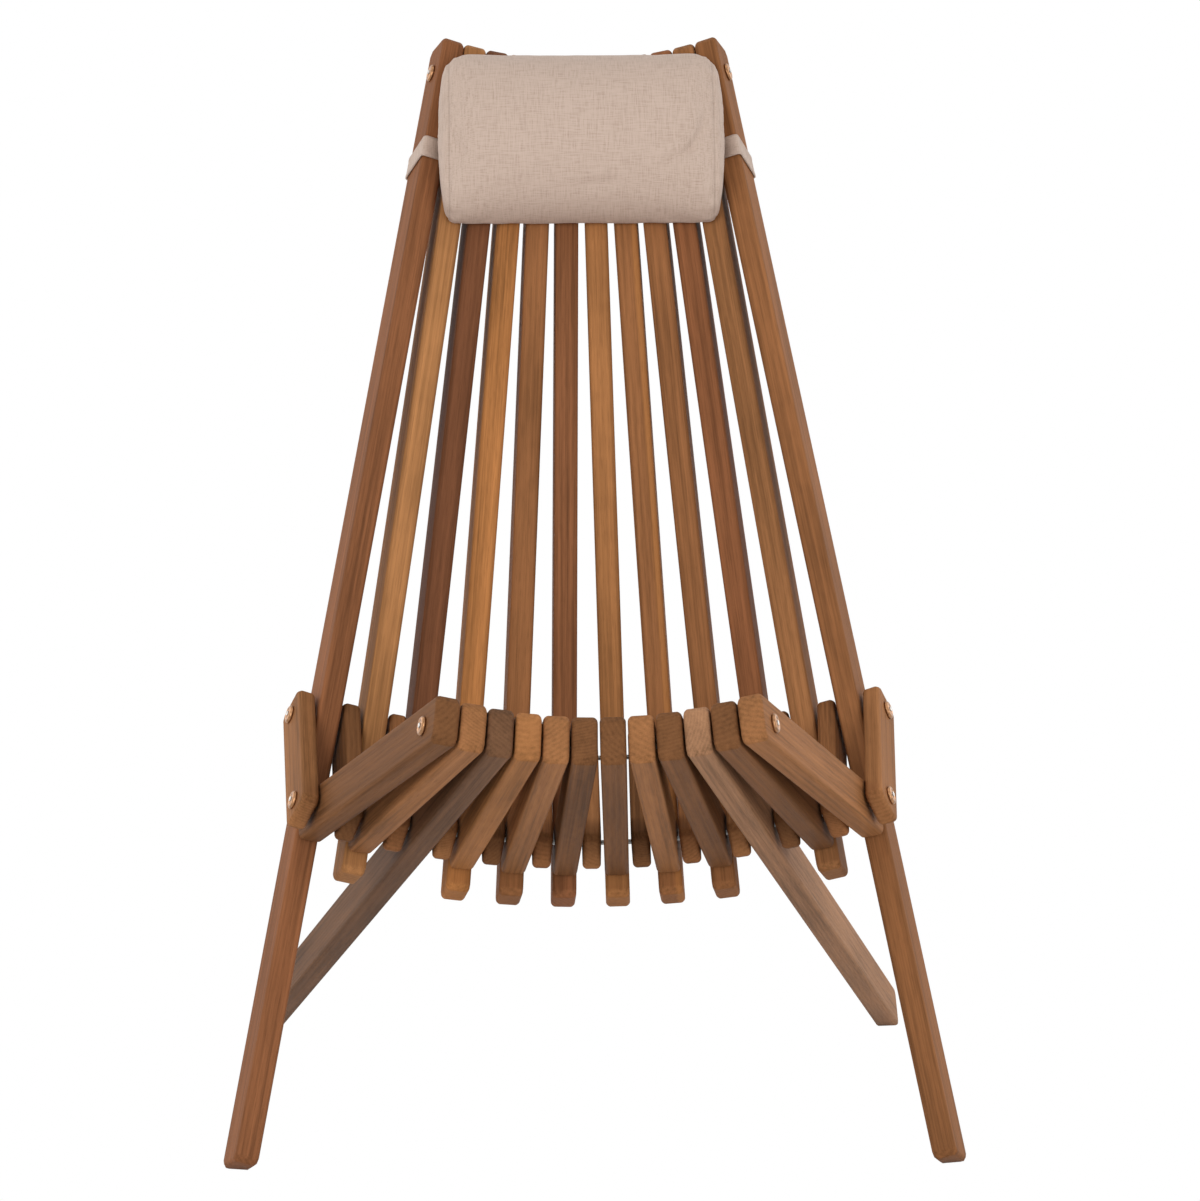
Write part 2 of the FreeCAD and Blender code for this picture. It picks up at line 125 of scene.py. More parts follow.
@dataclass(frozen=True)
class Fan:
    """The fan of planes that every stick lies in, in metres and degrees."""

    step: float = 4.0506
    tilt: float = 40.5
    recline: float = 23.5
    seat_rise: float = 21.5
    hip_radius: float = 0.583
    hip_height: float = 0.311
    hip_forward: float = -0.0841
    hip_offset: float = 0.060
    hip_drop: float = 0.092
    back_above: float = 0.640
    slat_depth: float = 0.038
    slat_width: float = 0.020

    @property
    def axis(self) -> Vector:
        """Direction of the fan's axis."""
        turn = math.radians(self.tilt)
        return Vector((0.0, math.cos(turn), math.sin(turn)))

    @property
    def up(self) -> Vector:
        """Direction square to the axis, in the middle plane."""
        turn = math.radians(self.tilt)
        return Vector((0.0, -math.sin(turn), math.cos(turn)))

    @property
    def origin(self) -> Vector:
        """Point of the axis level with the upper hip wire."""
        return Vector((0.0, self.hip_forward, self.hip_height)) + self.up * self.hip_radius

    @property
    def back_turn(self) -> float:
        """Angle between the back slats and the axis, in radians."""
        return math.radians(90.0 - self.recline - self.tilt)

    @property
    def seat_turn(self) -> float:
        """Angle between the seat slats and the axis, in radians."""
        return math.radians(self.seat_rise + self.tilt)

    def outward(self, angle: float) -> Vector:
        """Direction away from the axis in the plane at an angle in degrees."""
        turn = math.radians(angle)
        return Vector((math.sin(turn), 0.0, 0.0)) - self.up * math.cos(turn)

    def sideways(self, angle: float) -> Vector:
        """Direction square to the plane at an angle in degrees."""
        turn = math.radians(angle)
        return Vector((math.cos(turn), 0.0, 0.0)) + self.up * math.sin(turn)

    def slat_angle(self, index: int) -> float:
        """Angle of slat 0 to 11, in degrees."""
        return (index - (SLATS - 1) / 2) * self.step

    def link_angle(self, index: int) -> float:
        """Angle of link 0 to 12, in degrees."""
        return (index - SLATS / 2) * self.step

    def back_way(self, angle: float) -> Vector:
        """Direction up a back slat."""
        return self.axis * math.cos(self.back_turn) - self.outward(angle) * math.sin(self.back_turn)

    def back_face(self, angle: float) -> Vector:
        """Direction out of a back slat's front face."""
        return -self.outward(angle) * math.cos(self.back_turn) - self.axis * math.sin(self.back_turn)

    def seat_way(self, angle: float) -> Vector:
        """Direction forward along a seat slat."""
        return -self.outward(angle) * math.sin(self.seat_turn) - self.axis * math.cos(self.seat_turn)

    def link_way(self, angle: float) -> Vector:
        """Direction down a link, from the upper hip wire to the lower."""
        way = self.back_face(angle) * self.hip_offset - self.back_way(angle) * self.hip_drop
        return way.normalized()

    def grain(self, way: Vector, angle: float) -> Matrix:
        """Directions along, through and across a stick.

        Args:
            way: Direction along the stick.
            angle: Fan angle in degrees.

        Returns:
            The directions as a frame at the origin.
        """
        across = self.sideways(angle)
        return Matrix((way, across.cross(way), across)).transposed().to_4x4()

    def cloth_frame(self, place: Vector) -> Matrix:
        """Frame of a cloth on the back, with X across the chair and Y up the back.

        Args:
            place: Its origin.

        Returns:
            The frame.
        """
        up = self.back_way(0.0)
        out = self.back_face(0.0)
        frame = Matrix((up.cross(out), up, out)).transposed().to_4x4()
        frame.translation = place
        return frame

    def back_point(self, angle: float, rise: float, forward: float) -> Vector:
        """Point at a height along the back and a distance in front of the slats' middle.

        Args:
            angle: Fan angle in degrees.
            rise: Distance up the back from the upper hip wire, in metres.
            forward: Distance in front of the slats' middle, in metres.

        Returns:
            The point in space.
        """
        base = self.origin + self.outward(angle) * self.hip_radius
        return base + self.back_way(angle) * rise + self.back_face(angle) * forward

    def hollow(self, across: float, rise: float) -> float:
        """How much further forward the slats' fronts stand at a distance from the middle.

        Args:
            across: Distance from the middle of the chair, in metres.
            rise: Distance up the back from the upper hip wire, in metres.

        Returns:
            The extra distance forward, in metres.
        """
        sine = math.sin(self.back_turn)
        cosine = math.cos(self.back_turn)
        radius = self.hip_radius - rise * sine - self.slat_depth / 2 * cosine
        square = (sine ** 2 / cosine) ** 2 - cosine ** 2
        slope = 2.0 * radius / cosine
        return (math.sqrt(slope ** 2 + 4.0 * square * across ** 2) - slope) / (2.0 * square)


class Graph:
    """A short way to write a material's node tree."""

    def __init__(self, name: str) -> None:
        """Start a material with a Principled shader.

        Args:
            name: Name of the material.
        """
        self.material = bpy.data.materials.new(name)
        self.material.use_nodes = True
        self.tree = self.material.node_tree
        self.shader = self.tree.nodes["Principled BSDF"]

    def add(self, kind: str, **settings: object) -> bpy.types.Node:
        """Add a node and set its properties.

        Args:
            kind: Name of the kind of node.
            settings: Properties to set on it.

        Returns:
            The node.
        """
        node = self.tree.nodes.new(kind)
        for key, value in settings.items():
            setattr(node, key, value)
        return node

    def link(self, source: Socket, target: Socket) -> None:
        """Join two sockets."""
        self.tree.links.new(source, target)

    def set(self, socket: str, value: object) -> None:
        """Set one of the shader's own sockets."""
        self.shader.inputs[socket].default_value = value

    def placed(self, frame: Matrix) -> Socket:
        """Coordinates in a frame.

        Args:
            frame: The frame in space.

        Returns:
            The coordinates, in metres.
        """
        mapping = self.add("ShaderNodeMapping", vector_type="TEXTURE")
        mapping.inputs["Location"].default_value = frame.to_translation()
        mapping.inputs["Rotation"].default_value = frame.to_euler()
        self.link(self.add("ShaderNodeTexCoord").outputs["Object"], mapping.inputs["Vector"])
        return mapping.outputs[0]

    def noise(self, source: Socket, scale: Sequence[float], detail: float = 2.0) -> Socket:
        """Noise over stretched coordinates.

        Args:
            source: The coordinates.
            scale: Factor on each axis.
            detail: Number of finer layers.

        Returns:
            The noise, from zero to one.
        """
        stretch = self.add("ShaderNodeVectorMath", operation="MULTIPLY")
        stretch.inputs[1].default_value = tuple(scale)
        self.link(source, stretch.inputs[0])
        node = self.add("ShaderNodeTexNoise")
        node.inputs["Scale"].default_value = 1.0
        node.inputs["Detail"].default_value = detail
        self.link(stretch.outputs[0], node.inputs["Vector"])
        return node.outputs["Fac"]

    def math(self, operation: str, left: object, right: object) -> Socket:
        """Arithmetic on two sockets or numbers.

        Args:
            operation: Name of the operation.
            left: First socket or number.
            right: Second socket or number.

        Returns:
            The result.
        """
        node = self.add("ShaderNodeMath", operation=operation)
        for socket, value in zip(node.inputs, (left, right)):
            if isinstance(value, (int, float)):
                socket.default_value = value
            else:
                self.link(value, socket)
        return node.outputs[0]

    def ramp(self, source: Socket, stops: Sequence[tuple[float, Sequence[float]]]) -> Socket:
        """Colour ramp with the given stops.

        Args:
            source: Place on the ramp.
            stops: Places and their colours.

        Returns:
            The colour.
        """
        node = self.add("ShaderNodeValToRGB")
        elements = node.color_ramp.elements
        while len(elements) < len(stops):
            elements.new(0.5)
        for element, (place, colour) in zip(elements, stops):
            element.position = place
            element.color = colour
        self.link(source, node.inputs[0])
        return node.outputs[0]

    def mix(self, share: object, first: object, second: object) -> Socket:
        """Mix two colours.

        Args:
            share: Share of the second colour, as a socket or a number.
            first: First colour.
            second: Second colour.

        Returns:
            The mixed colour.
        """
        node = self.add("ShaderNodeMix", data_type="RGBA")
        sockets = (node.inputs[0], node.inputs[6], node.inputs[7])
        for socket, value in zip(sockets, (share, first, second)):
            if isinstance(value, Socket):
                self.link(value, socket)
            else:
                socket.default_value = value
        return node.outputs[2]

    def roughen(self, source: Socket, middle: float, spread: float) -> None:
        """Let the roughness vary with a noise.

        Args:
            source: The noise, from zero to one.
            middle: Roughness where the noise is a half.
            spread: Difference between the smoothest and the roughest places.
        """
        varied = self.math("ADD", self.math("MULTIPLY", source, spread), middle - spread / 2)
        self.link(varied, self.shader.inputs["Roughness"])

    def bump(self, height: Socket, distance: float, strength: float, edge: float = 0.0) -> None:
        """Raise the surface's shading by a height.

        Args:
            height: Height of the relief.
            distance: Depth of the relief in metres.
            strength: Share of the relief that shows.
            edge: Radius in metres to which sharp edges look rounded, or zero to leave them.
        """
        node = self.add("ShaderNodeBump")
        node.inputs["Distance"].default_value = distance
        node.inputs["Strength"].default_value = strength
        self.link(height, node.inputs["Height"])
        if edge > 0.0:
            rounded = self.add("ShaderNodeBevel", samples=4)
            rounded.inputs["Radius"].default_value = edge
            self.link(rounded.outputs[0], node.inputs["Normal"])
        self.link(node.outputs[0], self.shader.inputs["Normal"])


@dataclass(frozen=True)
class WoodFinish:
    """Oiled hardwood with soft figure, fibres and pores along one stick, and rings on its ends."""

    tone: WoodTone
    contrast: float = 0.22
    dark_gain: float = 2.0
    light_gain: float = 1.7
    figure_reach: float = 0.16
    sapwood: float = 0.0
    roughness: float = 0.58
    roughness_spread: float = 0.20
    gloss: float = 0.04
    cloud_scale: Triple = (5.0, 34.0, 34.0)
    cloud_share: float = 0.40
    streak_scale: Triple = (2.4, 300.0, 300.0)
    streak_share: float = 0.36
    fibre_scale: Triple = (16.0, 900.0, 900.0)
    fibre_share: float = 0.24
    pore_scale: Triple = (60.0, 1700.0, 1700.0)
    pore_share: float = 0.30
    pore_stops: tuple[float, float] = (0.56, 0.72)
    pore_depth: float = 0.8
    pore_gain: float = 0.45
    seed_shift: Triple = (1.37, 0.311, 0.173)
    end_calm: float = 0.5
    ring_gap: float = 0.0034
    ring_gap_spread: float = 0.3
    ring_wander: float = 5.0
    ring_wander_scale: float = 0.35
    heart_away: float = 0.05
    heart_spread: tuple[float, float] = (0.03, 0.04)
    heart_lean: tuple[float, float] = (0.012, 0.015)
    ring_share: float = 0.04
    end_ring_share: float = 0.01
    sap_edge: float = 0.013
    sap_reach: float = 0.02
    sap_blur: float = 0.003
    sap_wander: float = 0.006
    sap_most: float = 0.85
    relief: float = 0.00022
    relief_share: float = 0.35
    edge_shade: float = 0.0022

    def build(self, name: str, stick: Matrix, seed: int) -> bpy.types.Material:
        """Make the material for one stick.

        Args:
            name: Name of the material.
            stick: Frame of the stick, with X along it and Z across its width.
            seed: Number that shifts the grain from stick to stick.

        Returns:
            The material.
        """
        graph = Graph(name)
        plain = graph.placed(stick)
        shift = graph.add("ShaderNodeVectorMath", operation="ADD")
        graph.link(plain, shift.inputs[0])
        shift.inputs[1].default_value = tuple(seed * part for part in self.seed_shift)
        along = shift.outputs[0]
        cloudy = graph.noise(along, self.cloud_scale, 3.0)
        streak = graph.noise(along, self.streak_scale, 2.0)
        fibre = graph.noise(along, self.fibre_scale, 2.0)
        pores = graph.noise(along, self.pore_scale, 1.0)
        clouds = graph.math("MULTIPLY", cloudy, self.cloud_share)
        figure = graph.math("ADD", clouds, graph.math("MULTIPLY", streak, self.streak_share))
        figure = graph.math("ADD", figure, graph.math("MULTIPLY", fibre, self.fibre_share))
        end = self._end_share(graph, stick)
        calm = graph.math("SUBTRACT", 1.0, graph.math("MULTIPLY", end, self.end_calm))
        figure = graph.math("MULTIPLY", graph.math("SUBTRACT", figure, 0.5), calm)
        figure = graph.math("ADD", graph.math("ADD", figure, 0.5), self._rings(graph, plain, end, seed))
        tone = self.tone.value
        dark = (0.5 - self.figure_reach, linear(tone, 1.0 - self.dark_gain * self.contrast))
        light = (0.5 + self.figure_reach, linear(tone, 1.0 + self.light_gain * self.contrast))
        colour = graph.ramp(figure, (dark, (0.5, linear(tone)), light))
        if self.sapwood > 0.0:
            colour = graph.mix(self._sap_mask(graph, plain, streak), colour, linear(WoodTone.AMBER.value))
        pore_mask = graph.ramp(pores, tuple(zip(self.pore_stops, (BLACK, WHITE))))
        pore_share = graph.math("MULTIPLY", pore_mask, self.pore_share)
        colour = graph.mix(pore_share, colour, linear(tone, self.pore_gain))
        graph.link(colour, graph.shader.inputs["Base Color"])
        graph.roughen(fibre, self.roughness, self.roughness_spread)
        graph.set("Specular IOR Level", self.gloss)
        height = graph.math("SUBTRACT", fibre, graph.math("MULTIPLY", pore_mask, self.pore_depth))
        graph.bump(height, self.relief, self.relief_share, edge=self.edge_shade)
        return graph.material

    def _sap_mask(self, graph: Graph, plain: Socket, wander: Socket) -> Socket:
        """Mask of the pale sapwood along one edge of the stick.

        Args:
            graph: The material's nodes.
            plain: Coordinates along, through and across the stick.
            wander: Noise that makes the edge wander.

        Returns:
            The mask, from zero to nearly one.
        """
        parts = graph.add("ShaderNodeSeparateXYZ")
        graph.link(plain, parts.inputs[0])
        place = graph.math("ADD", parts.outputs["Z"], graph.math("MULTIPLY", wander, self.sap_wander))
        inside = graph.math("SUBTRACT", place, self.sap_edge - self.sapwood * self.sap_reach)
        share = graph.math("DIVIDE", inside, self.sap_blur)
        return graph.math("MINIMUM", graph.math("MAXIMUM", share, 0.0), self.sap_most)

    def _end_share(self, graph: Graph, stick: Matrix) -> Socket:
        """Mask that is one on the stick's ends and zero along it.

        Args:
            graph: The material's nodes.
            stick: Frame of the stick.

        Returns:
            The mask.
        """
        facing = graph.add("ShaderNodeVectorMath", operation="DOT_PRODUCT")
        graph.link(graph.add("ShaderNodeTexCoord").outputs["Normal"], facing.inputs[0])
        facing.inputs[1].default_value = stick.col[0].to_3d()
        return graph.math("POWER", graph.math("ABSOLUTE", facing.outputs["Value"], 0.0), 3.0)

    def _rings(self, graph: Graph, plain: Socket, end: Socket, seed: int) -> Socket:
        """Growth rings about a heart outside the stick, a little plainer on its ends.

        Args:
            graph: The material's nodes.
            plain: Coordinates along, through and across the stick.
            end: Mask of the stick's ends.
            seed: Number that shifts the heart from stick to stick.

        Returns:
            What the rings add to the wood's figure.
        """
        wave = graph.add("ShaderNodeTexWave", wave_type="RINGS", rings_direction="X")
        gap = self.ring_gap * (1.0 + self.ring_gap_spread * math.sin(seed * 1.7))
        wave.inputs["Scale"].default_value = WAVE_UNIT / gap
        wave.inputs["Distortion"].default_value = self.ring_wander
        wave.inputs["Detail"].default_value = 2.0
        wave.inputs["Detail Scale"].default_value = self.ring_wander_scale
        lean = graph.add("ShaderNodeMapping", vector_type="POINT")
        away = self.heart_away + self.heart_spread[0] * math.sin(seed * 2.1)
        lean.inputs["Location"].default_value = (0.0, away, self.heart_spread[1] * math.cos(seed * 1.3))
        turn = (0.0, self.heart_lean[0] * math.sin(seed), self.heart_lean[1] * math.cos(seed))
        lean.inputs["Rotation"].default_value = turn
        graph.link(plain, lean.inputs["Vector"])
        graph.link(lean.outputs[0], wave.inputs["Vector"])
        weight = graph.math("ADD", graph.math("MULTIPLY", end, self.end_ring_share), self.ring_share)
        return graph.math("MULTIPLY", graph.math("SUBTRACT", wave.outputs["Fac"], 0.5), weight)


@dataclass(frozen=True)
class MetalFinish:
    """Drawn or pressed metal with a little tarnish."""

    tone: Rgb
    roughness: float
    roughness_spread: float = 0.2
    tarnish_scale: Triple = (420.0, 420.0, 420.0)
    tarnish_reach: float = 0.15
    dull_gain: float = 0.62
    worn_gain: float = 1.15
    relief: float = 0.0001
    relief_share: float = 0.2

    def build(self, name: str) -> bpy.types.Material:
        """Make the material.

        Args:
            name: Name of the material.

        Returns:
            The material.
        """
        graph = Graph(name)
        place = graph.add("ShaderNodeTexCoord").outputs["Object"]
        tarnish = graph.noise(place, self.tarnish_scale, 3.0)
        dull = (0.5 - self.tarnish_reach, linear(self.tone, self.dull_gain))
        worn = (0.5 + self.tarnish_reach, linear(self.tone, self.worn_gain))
        graph.link(graph.ramp(tarnish, (dull, worn)), graph.shader.inputs["Base Color"])
        graph.roughen(tarnish, self.roughness, self.roughness_spread)
        graph.set("Metallic", 1.0)
        graph.bump(tarnish, self.relief, self.relief_share)
        return graph.material


@dataclass(frozen=True)
class WovenFinish:
    """Plain-woven melange cloth with slubs, and a sewn line with painted shade at a distance from its
    middle.
    """

    tone: Rgb = (194, 173, 159)
    deep: Rgb = (172, 150, 135)
    thread: float = 0.0007
    slub: float = 0.06
    weave_stops: Triple = (0.30, 0.52, 0.72)
    weave_height: float = 0.8
    thread_height: float = 0.6
    thread_wander: float = 1.2
    pale_gain: float = 1.07
    patch_scale: Triple = (22.0, 30.0, 22.0)
    patch_share: float = 0.22
    patch_gain: float = 1.08
    seam_reach: float = 0.0011
    # Painted shade along the sewn line: its share, and the gain on the deep tone that it darkens towards.
    painted_seam_shade: float = 0.28
    painted_seam_gain: float = 0.55
    seam_depth: float = 2.0
    roughness: float = 0.92
    gloss: float = 0.15
    sheen: float = 0.12
    sheen_roughness: float = 0.5
    relief: float = 0.0004
    relief_share: float = 0.45

    def build(self, name: str, cloth: Matrix, seam: float = 0.0) -> bpy.types.Material:
        """Make the material.

        Args:
            name: Name of the material.
            cloth: Frame of the cloth, with X along the weft and Y along the warp.
            seam: Distance of the sewn lines from the cloth's middle, or zero for none.

        Returns:
            The material.
        """
        graph = Graph(name)
        flat = graph.placed(cloth)
        fine = 1.0 / self.thread
        weft = graph.noise(flat, (fine * self.slub, fine, fine), 1.0)
        warp = graph.noise(flat, (fine, fine * self.slub, fine * self.slub), 1.0)
        patch = graph.noise(flat, self.patch_scale, 2.0)
        weave = graph.math("MULTIPLY", graph.math("ADD", weft, warp), 0.5)
        tones = (linear(self.deep), linear(self.tone), linear(self.tone, self.pale_gain))
        colour = graph.ramp(weave, tuple(zip(self.weave_stops, tones)))
        patches = graph.math("MULTIPLY", patch, self.patch_share)
        colour = graph.mix(patches, colour, linear(self.deep, self.patch_gain))
        threads = graph.math("MULTIPLY", self._threads(graph, flat), self.thread_height)
        height = graph.math("ADD", graph.math("MULTIPLY", weave, self.weave_height), threads)
        if seam > 0.0:
            line = self._sewn_line(graph, flat, seam)
            # Painted shade: the cloth's colour is darkened along the sewn line, for the shade in the
            # seam's groove.
            shade = graph.math("MULTIPLY", line, self.painted_seam_shade)
            colour = graph.mix(shade, colour, linear(self.deep, self.painted_seam_gain))
            height = graph.math("SUBTRACT", height, graph.math("MULTIPLY", line, self.seam_depth))
        graph.link(colour, graph.shader.inputs["Base Color"])
        graph.set("Roughness", self.roughness)
        graph.set("Specular IOR Level", self.gloss)
        graph.set("Sheen Weight", self.sheen)
        graph.set("Sheen Roughness", self.sheen_roughness)
        graph.bump(height, self.relief, self.relief_share)
        return graph.material

    def _threads(self, graph: Graph, flat: Socket) -> Socket:
        """Regular over-and-under of the threads.

        Args:
            graph: The material's nodes.
            flat: Coordinates along the weft and the warp.

        Returns:
            Height of the threads, from zero to one.
        """
        waves = []
        for direction in ("X", "Y"):
            wave = graph.add("ShaderNodeTexWave", wave_type="BANDS", bands_direction=direction)
            wave.inputs["Scale"].default_value = WAVE_UNIT / self.thread
            wave.inputs["Distortion"].default_value = self.thread_wander
            graph.link(flat, wave.inputs["Vector"])
            waves.append(wave.outputs["Fac"])
        return graph.math("MULTIPLY", waves[0], waves[1])

    def _sewn_line(self, graph: Graph, flat: Socket, seam: float) -> Socket:
        """Mask that is one on the sewn lines and zero a thread's width away.

        Args:
            graph: The material's nodes.
            flat: Coordinates along the weft and the warp.
            seam: Distance of the sewn lines from the cloth's middle.

        Returns:
            The mask.
        """
        parts = graph.add("ShaderNodeSeparateXYZ")
        graph.link(flat, parts.inputs[0])
        away = graph.math("SUBTRACT", graph.math("ABSOLUTE", parts.outputs["X"], 0.0), seam)
        share = graph.math("DIVIDE", graph.math("ABSOLUTE", away, 0.0), self.seam_reach)
        return graph.math("SUBTRACT", 1.0, graph.math("MINIMUM", share, 1.0))


def new_piece(
    name: str, points: Sequence[Vector], faces: Sequence[Sequence[int]], smooth: bool = True
) -> bpy.types.Object:
    """Make a mesh object from points and faces.

    Args:
        name: Name of the piece.
        points: Its points, in metres.
        faces: Its faces, as point numbers.
        smooth: Whether it is shaded smooth.

    Returns:
        The object, linked to the scene.
    """
    mesh = bpy.data.meshes.new(name)
    mesh.from_pydata([tuple(point) for point in points], [], [tuple(face) for face in faces])
    mesh.validate()
    for polygon in mesh.polygons:
        polygon.use_smooth = smooth
    piece = bpy.data.objects.new(name, mesh)
    bpy.context.scene.collection.objects.link(piece)
    return piece


def ring_faces(first: int, rings: int, facets: int) -> Faces:
    """Faces of a closed turned ring.

    Args:
        first: Number of its first point.
        rings: Number of circles in its section.
        facets: Number of points in each circle.

    Returns:
        The faces, as point numbers.
    """
    faces = []
    for ring in range(rings):
        here = first + ring * facets
        after = first + (ring + 1) % rings * facets
        for facet in range(facets):
            follow = (facet + 1) % facets
            faces.append((here + facet, here + follow, after + follow, after + facet))
    return faces


def tube_faces(stops: int, ring: int) -> Faces:
    """Faces of a tube that is closed at both ends.

    Args:
        stops: Number of sections along it.
        ring: Number of points in each section.

    Returns:
        The faces, as point numbers.
    """
    last = (stops - 1) * ring
    faces: Faces = []
    for here in range(0, last, ring):
        for row in range(ring):
            follow = (row + 1) % ring
            faces.append((here + row, here + follow, here + ring + follow, here + ring + row))
    faces.append(tuple(reversed(range(ring))))
    faces.append(tuple(range(last, last + ring)))
    return faces


def bake(*pieces: bpy.types.Object) -> None:
    """Make the modifiers' result each piece's own mesh.

    Args:
        pieces: The objects.
    """
    depsgraph = bpy.context.evaluated_depsgraph_get()
    results = [bpy.data.meshes.new_from_object(piece.evaluated_get(depsgraph)) for piece in pieces]
    for piece, result in zip(pieces, results):
        piece.modifiers.clear()
        piece.data = result


def dress(node: bpy.types.Object, material: bpy.types.Material) -> None:
    """Give a node one material.

    Args:
        node: The object.
        material: Its new material.
    """
    node.data.materials.clear()
    node.data.materials.append(material)


@dataclass
class Sticks:
    """The wooden slats and links, with their edges sanded round."""

    fan: Fan
    record: dict[str, Any]
    back_tones: tuple[WoodTone, ...] = (
        WoodTone.RUSSET, WoodTone.GOLDEN, WoodTone.WALNUT, WoodTone.AMBER,
        WoodTone.CHESTNUT, WoodTone.RUSSET, WoodTone.HONEY, WoodTone.CHESTNUT,
        WoodTone.CHESTNUT, WoodTone.UMBER, WoodTone.TAN, WoodTone.CHESTNUT,
    )
    seat_tones: tuple[WoodTone, ...] = (
        WoodTone.ASH, WoodTone.TAN, WoodTone.SMOKE, WoodTone.HONEY, WoodTone.TAN, WoodTone.ASH,
        WoodTone.ASH, WoodTone.TAN, WoodTone.ASH, WoodTone.DUSK, WoodTone.ASH, WoodTone.TAN,
    )
    link_tones: tuple[WoodTone, ...] = (WoodTone.TAN, WoodTone.ASH, WoodTone.CHESTNUT)
    sapwood_slat: int = 7
    sapwood_share: float = 0.35
    worn_contrast: float = 0.25
    seat_seed: int = 20
    link_seed: int = 40
    stick_names: tuple[str, ...] = ("back_slat_", "seat_slat_", "link_")
    edge_round: float = 0.0012
    edge_steps: int = 2
    least_edge: float = 0.0016
    least_turn: float = 18.0
    most_turn: float = 80.0
    foot_height: float = 0.006
    flat_turn: float = 0.3
    crisp_turn: float = 40.0
    weld: float = 0.000002

    def dress_all(self, nodes: dict[str, bpy.types.Object]) -> list[bpy.types.Object]:
        """Give every slat and link its own wood.

        Args:
            nodes: The frame's nodes by name.

        Returns:
            The dressed slats and links.
        """
        sticks = [node for name, node in nodes.items() if name.startswith(self.stick_names)]
        pieces = {node.name: self._sanded(node) for node in sticks}
        bake(*pieces.values())
        fan = self.fan
        for index, tone in enumerate(self.back_tones):
            name = f"back_slat_{index + 1:02d}"
            angle = fan.slat_angle(index)
            finish = WoodFinish(tone, sapwood=self.sapwood_share if index == self.sapwood_slat else 0.0)
            self._dress_one(pieces[name], name, fan.grain(fan.back_way(angle), angle), finish, index)
        for index, tone in enumerate(self.seat_tones):
            name = f"seat_slat_{index + 1:02d}"
            angle = fan.slat_angle(index)
            finish = WoodFinish(tone, contrast=self.worn_contrast)
            grain = fan.grain(fan.seat_way(angle), angle)
            self._dress_one(pieces[name], name, grain, finish, index + self.seat_seed)
        for index in range(LINKS):
            name = f"link_{index + 1:02d}"
            angle = fan.link_angle(index)
            tone = self.link_tones[index % len(self.link_tones)]
            finish = WoodFinish(tone, contrast=self.worn_contrast)
            grain = fan.grain(fan.link_way(angle), angle)
            self._dress_one(pieces[name], name, grain, finish, index + self.link_seed)
        return list(pieces.values())

    def _dress_one(
        self, piece: bpy.types.Object, name: str, grain: Matrix, finish: WoodFinish, seed: int
    ) -> None:
        """Put one stick in its node's place and give it its wood, with the grain along it.

        Args:
            piece: The stick.
            name: Name of the node that it stands for.
            grain: Directions along, through and across the stick.
            finish: Its wood.
            seed: Number that shifts the grain from stick to stick.
        """
        low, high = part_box(name)
        frame = grain.copy()
        frame.translation = (low + high) / 2
        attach(piece, self._body(name))
        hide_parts(name)
        dress(piece, finish.build(f"wood_{name}", frame, seed))

    def _body(self, name: str) -> str:
        """Body that a stick belongs to."""
        return next(body for body, names in self.record["behaviour"]["bodies"].items() if name in names)

    def _sanded(self, node: bpy.types.Object) -> bpy.types.Object:
        """Copy of a stick whose eased edges are round.

        Args:
            node: The stick's node.

        Returns:
            The copy, with its shading still to be baked.
        """
        form = bmesh.new()
        form.from_mesh(node.data)
        bmesh.ops.remove_doubles(form, verts=form.verts, dist=self.weld)
        flat = math.radians(self.flat_turn)
        bmesh.ops.dissolve_limit(form, angle_limit=flat, verts=form.verts, edges=form.edges)
        edges = [edge for edge in form.edges if self._takes_sanding(edge)]
        bmesh.ops.bevel(
            form, geom=edges, offset=self.edge_round, offset_type="OFFSET", segments=self.edge_steps,
            profile=0.5, affect="EDGES",
        )
        mesh = bpy.data.meshes.new(f"sanded_{node.name}")
        form.to_mesh(mesh)
        form.free()
        mesh.shade_smooth()
        mesh.set_sharp_from_angle(angle=math.radians(self.crisp_turn))
        piece = bpy.data.objects.new(mesh.name, mesh)
        bpy.context.scene.collection.objects.link(piece)
        shading = piece.modifiers.new("flat_faces", "WEIGHTED_NORMAL")
        shading.keep_sharp = True
        return piece

    def _takes_sanding(self, edge: bmesh.types.BMEdge) -> bool:
        """Whether an edge is a long one of an eased corner, clear of the floor.

        Args:
            edge: The edge.

        Returns:
            True if it is rounded.
        """
        turn = math.degrees(edge.calc_face_angle(0.0))
        low = min(vertex.co.z for vertex in edge.verts)
        return (
            self.least_turn < turn < self.most_turn
            and edge.calc_length() > self.least_edge
            and low > self.foot_height
        )


